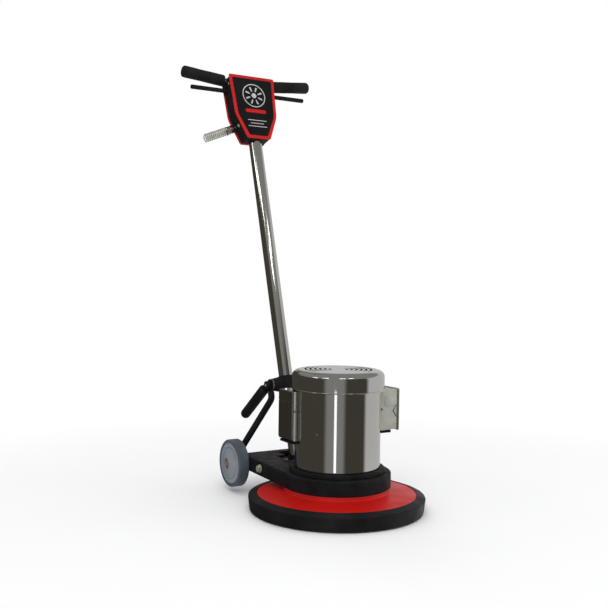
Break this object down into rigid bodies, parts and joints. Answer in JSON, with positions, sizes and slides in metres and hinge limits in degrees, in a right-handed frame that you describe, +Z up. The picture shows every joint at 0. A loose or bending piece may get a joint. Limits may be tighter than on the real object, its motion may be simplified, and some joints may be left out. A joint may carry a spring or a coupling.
{
  "type": "rotary floor machine",
  "caption": "Upright floor scrubber: round skirted deck, plated motor over a planetary drive, tilting tube handle with squeeze switch and side transport wheels.",
  "frame": {"origin": "on the spindle axis at the floor, centre of the pad's underside", "axes": "+Z up along the spindle, +Y towards the operator, the handle and the wheels, +X to the junction box side"},
  "size_m": [0.444, 0.7718, 1.1819],
  "materials": {
    "chrome": "bright polished chrome plate",
    "steel": "plain bright steel",
    "bronze": "dull bronze fasteners",
    "cast_iron": "plain cast and laminated iron",
    "copper": "varnished copper winding",
    "black_paint": "satin black, fine powder texture",
    "red_paint": "gloss red enamel",
    "red_plate": "gloss red enamel",
    "box_finish": "pale plated sheet, slightly warm",
    "black_rubber": "matte black rubber",
    "tyre": "blue-grey non-marking rubber",
    "wheel_plastic": "grey moulded disc",
    "dark_plastic": "dark moulded plastic",
    "pad_fibre": "non-woven floor pad",
    "label": "gloss black printed plate"
  },
  "bodies": {
    "chassis": {"bumper_ring": "black_rubber", "splash_deck": "red_paint", "chassis_housing": "black_paint", "pivot_bolt": "bronze", "pivot_nut": "bronze", "ring_gear": "cast_iron", "motor_flange": "black_paint", "motor_shell": "chrome", "motor_cap": "chrome", "upper_end_bell": "cast_iron", "lower_bearing": "steel", "upper_bearing": "steel", "stator_core": "cast_iron", "stator_winding_lower": "copper", "stator_winding_upper": "copper", "capacitor_cover": "chrome", "start_capacitor": "dark_plastic", "junction_box": "box_finish", "knockout_plug": "box_finish", "junction_box_cover": "box_finish", "terminal_block": "dark_plastic", "wheel_axle": "steel", "axle_nut_left": "bronze", "axle_nut_right": "bronze"},
    "drive": {"planet_carrier": "cast_iron", "pad_driver": "dark_plastic", "floor_pad": "pad_fibre"},
    "rotor": {"rotor_core": "cast_iron", "motor_shaft": "steel", "sun_gear": "steel", "cooling_fan": "dark_plastic"},
    "planet_1": {"planet_gear_1": "steel"},
    "planet_2": {"planet_gear_2": "steel"},
    "planet_3": {"planet_gear_3": "steel"},
    "handle": {"handle_yoke": "black_paint", "handle_tube": "chrome", "housing_front_plate": "red_plate", "label_plate": "label", "housing_back_plate": "red_plate", "housing_side_band": "black_paint", "handlebar": "steel", "grip_left": "black_rubber", "grip_right": "black_rubber", "tube_saddle": "cast_iron", "micro_switch": "dark_plastic", "strain_relief_gland": "steel", "strain_relief_spring": "chrome"},
    "collar": {"clamp_collar": "black_paint", "collar_washer_left": "steel", "collar_washer_right": "steel"},
    "lock_lever": {"lock_lever": "black_paint", "lever_grip": "black_rubber"},
    "braces": {"brace_left": "black_paint", "brace_right": "black_paint"},
    "wheel_left": {"wheel_tyre_left": "tyre", "wheel_hub_left": "wheel_plastic"},
    "wheel_right": {"wheel_tyre_right": "tyre", "wheel_hub_right": "wheel_plastic"},
    "switch_lever": {"switch_lever": "black_paint"}
  },
  "joints": [
    {"name": "drive_spin", "type": "hinge", "parent": "chassis", "child": "drive", "pos_m": [0, 0, 0.05], "axis": [0, 0, 1], "continuous": true},
    {"name": "rotor_spin", "type": "hinge", "parent": "chassis", "child": "rotor", "pos_m": [0, 0, 0.2], "axis": [0, 0, 1], "continuous": true},
    {"name": "planet_1_spin", "type": "hinge", "parent": "drive", "child": "planet_1", "pos_m": [0.054, 0, 0.082], "axis": [0, 0, 1], "continuous": true},
    {"name": "planet_2_spin", "type": "hinge", "parent": "drive", "child": "planet_2", "pos_m": [-0.027, 0.04677, 0.082], "axis": [0, 0, 1], "continuous": true},
    {"name": "planet_3_spin", "type": "hinge", "parent": "drive", "child": "planet_3", "pos_m": [-0.027, -0.04677, 0.082], "axis": [0, 0, 1], "continuous": true},
    {"name": "handle_tilt", "type": "hinge", "parent": "chassis", "child": "handle", "pos_m": [0, 0.165, 0.082], "axis": [-1, 0, 0], "range_deg": [-8, 25]},
    {"name": "collar_slide", "type": "slide", "parent": "handle", "child": "collar", "axis": [0, 0.289, 0.9573], "range_m": [-0.0186, 0.0574]},
    {"name": "brace_swing", "type": "hinge", "parent": "chassis", "child": "braces", "pos_m": [0, 0.288, 0.0755], "axis": [-1, 0, 0], "range_deg": [-10, 31]},
    {"name": "lock_lever_turn", "type": "hinge", "parent": "collar", "child": "lock_lever", "pos_m": [-0.0605, 0.26075, 0.28499], "axis": [1, 0, 0], "range_deg": [0, 70]},
    {"name": "wheel_left_spin", "type": "hinge", "parent": "chassis", "child": "wheel_left", "pos_m": [-0.1447, 0.288, 0.0755], "axis": [1, 0, 0], "continuous": true},
    {"name": "wheel_right_spin", "type": "hinge", "parent": "chassis", "child": "wheel_right", "pos_m": [0.1447, 0.288, 0.0755], "axis": [1, 0, 0], "continuous": true},
    {"name": "switch_squeeze", "type": "slide", "parent": "handle", "child": "switch_lever", "axis": [0, 0.289, 0.9573], "range_m": [0, 0.007], "stiffness_N_per_m": 900, "springref_m": -0.008}
  ],
  "couplings": [
    {"joint": "rotor_spin", "follows": "drive_spin", "ratio": 10},
    {"joint": "planet_1_spin", "follows": "drive_spin", "ratio": -2.25},
    {"joint": "planet_2_spin", "follows": "drive_spin", "ratio": -2.25},
    {"joint": "planet_3_spin", "follows": "drive_spin", "ratio": -2.25},
    {"joint": "collar_slide", "follows": "handle_tilt", "m_per_rad": 0.13063},
    {"joint": "brace_swing", "follows": "handle_tilt", "ratio": 1.235}
  ]
}
